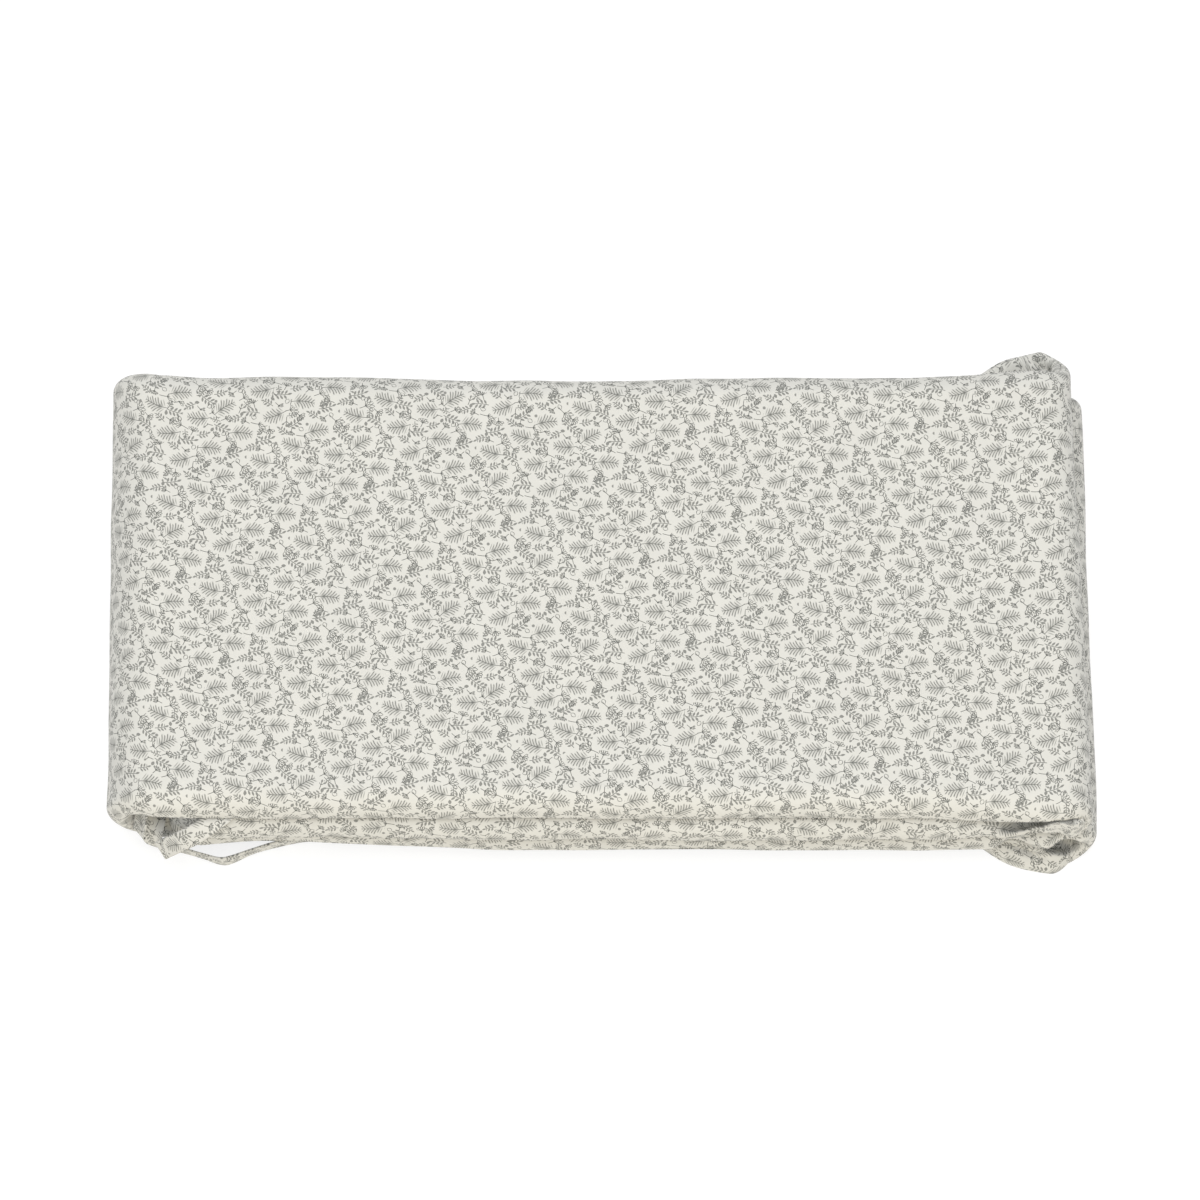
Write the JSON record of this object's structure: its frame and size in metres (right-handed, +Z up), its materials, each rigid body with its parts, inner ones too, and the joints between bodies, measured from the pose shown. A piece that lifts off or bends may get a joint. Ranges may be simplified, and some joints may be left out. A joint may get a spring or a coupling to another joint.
{
  "type": "crib bumper",
  "caption": "Padded crib bumper in printed cotton: one long filled strip folded over on itself into a flat stack of layers, with narrow sewn ties coming out at a corner.",
  "frame": {"origin": "middle of the bumper's box, on the surface that it lies on", "axes": "+X across the folded stack towards its two smaller folds, +Y towards its back, +Z up"},
  "size_m": [0.6059, 0.3231, 0.0814],
  "materials": {
    "printed_cotton": "matt woven cotton, off-white with a small grey line-drawn leaf print, over soft filling",
    "tie_cotton": "the same printed cotton, folded into a narrow tape and topstitched along its edges"
  },
  "bodies": {
    "root": {"padded_strip": "printed_cotton", "tie_free": "tie_cotton", "tie_hanging": "tie_cotton", "tie_looped": "tie_cotton"}
  },
  "joints": []
}
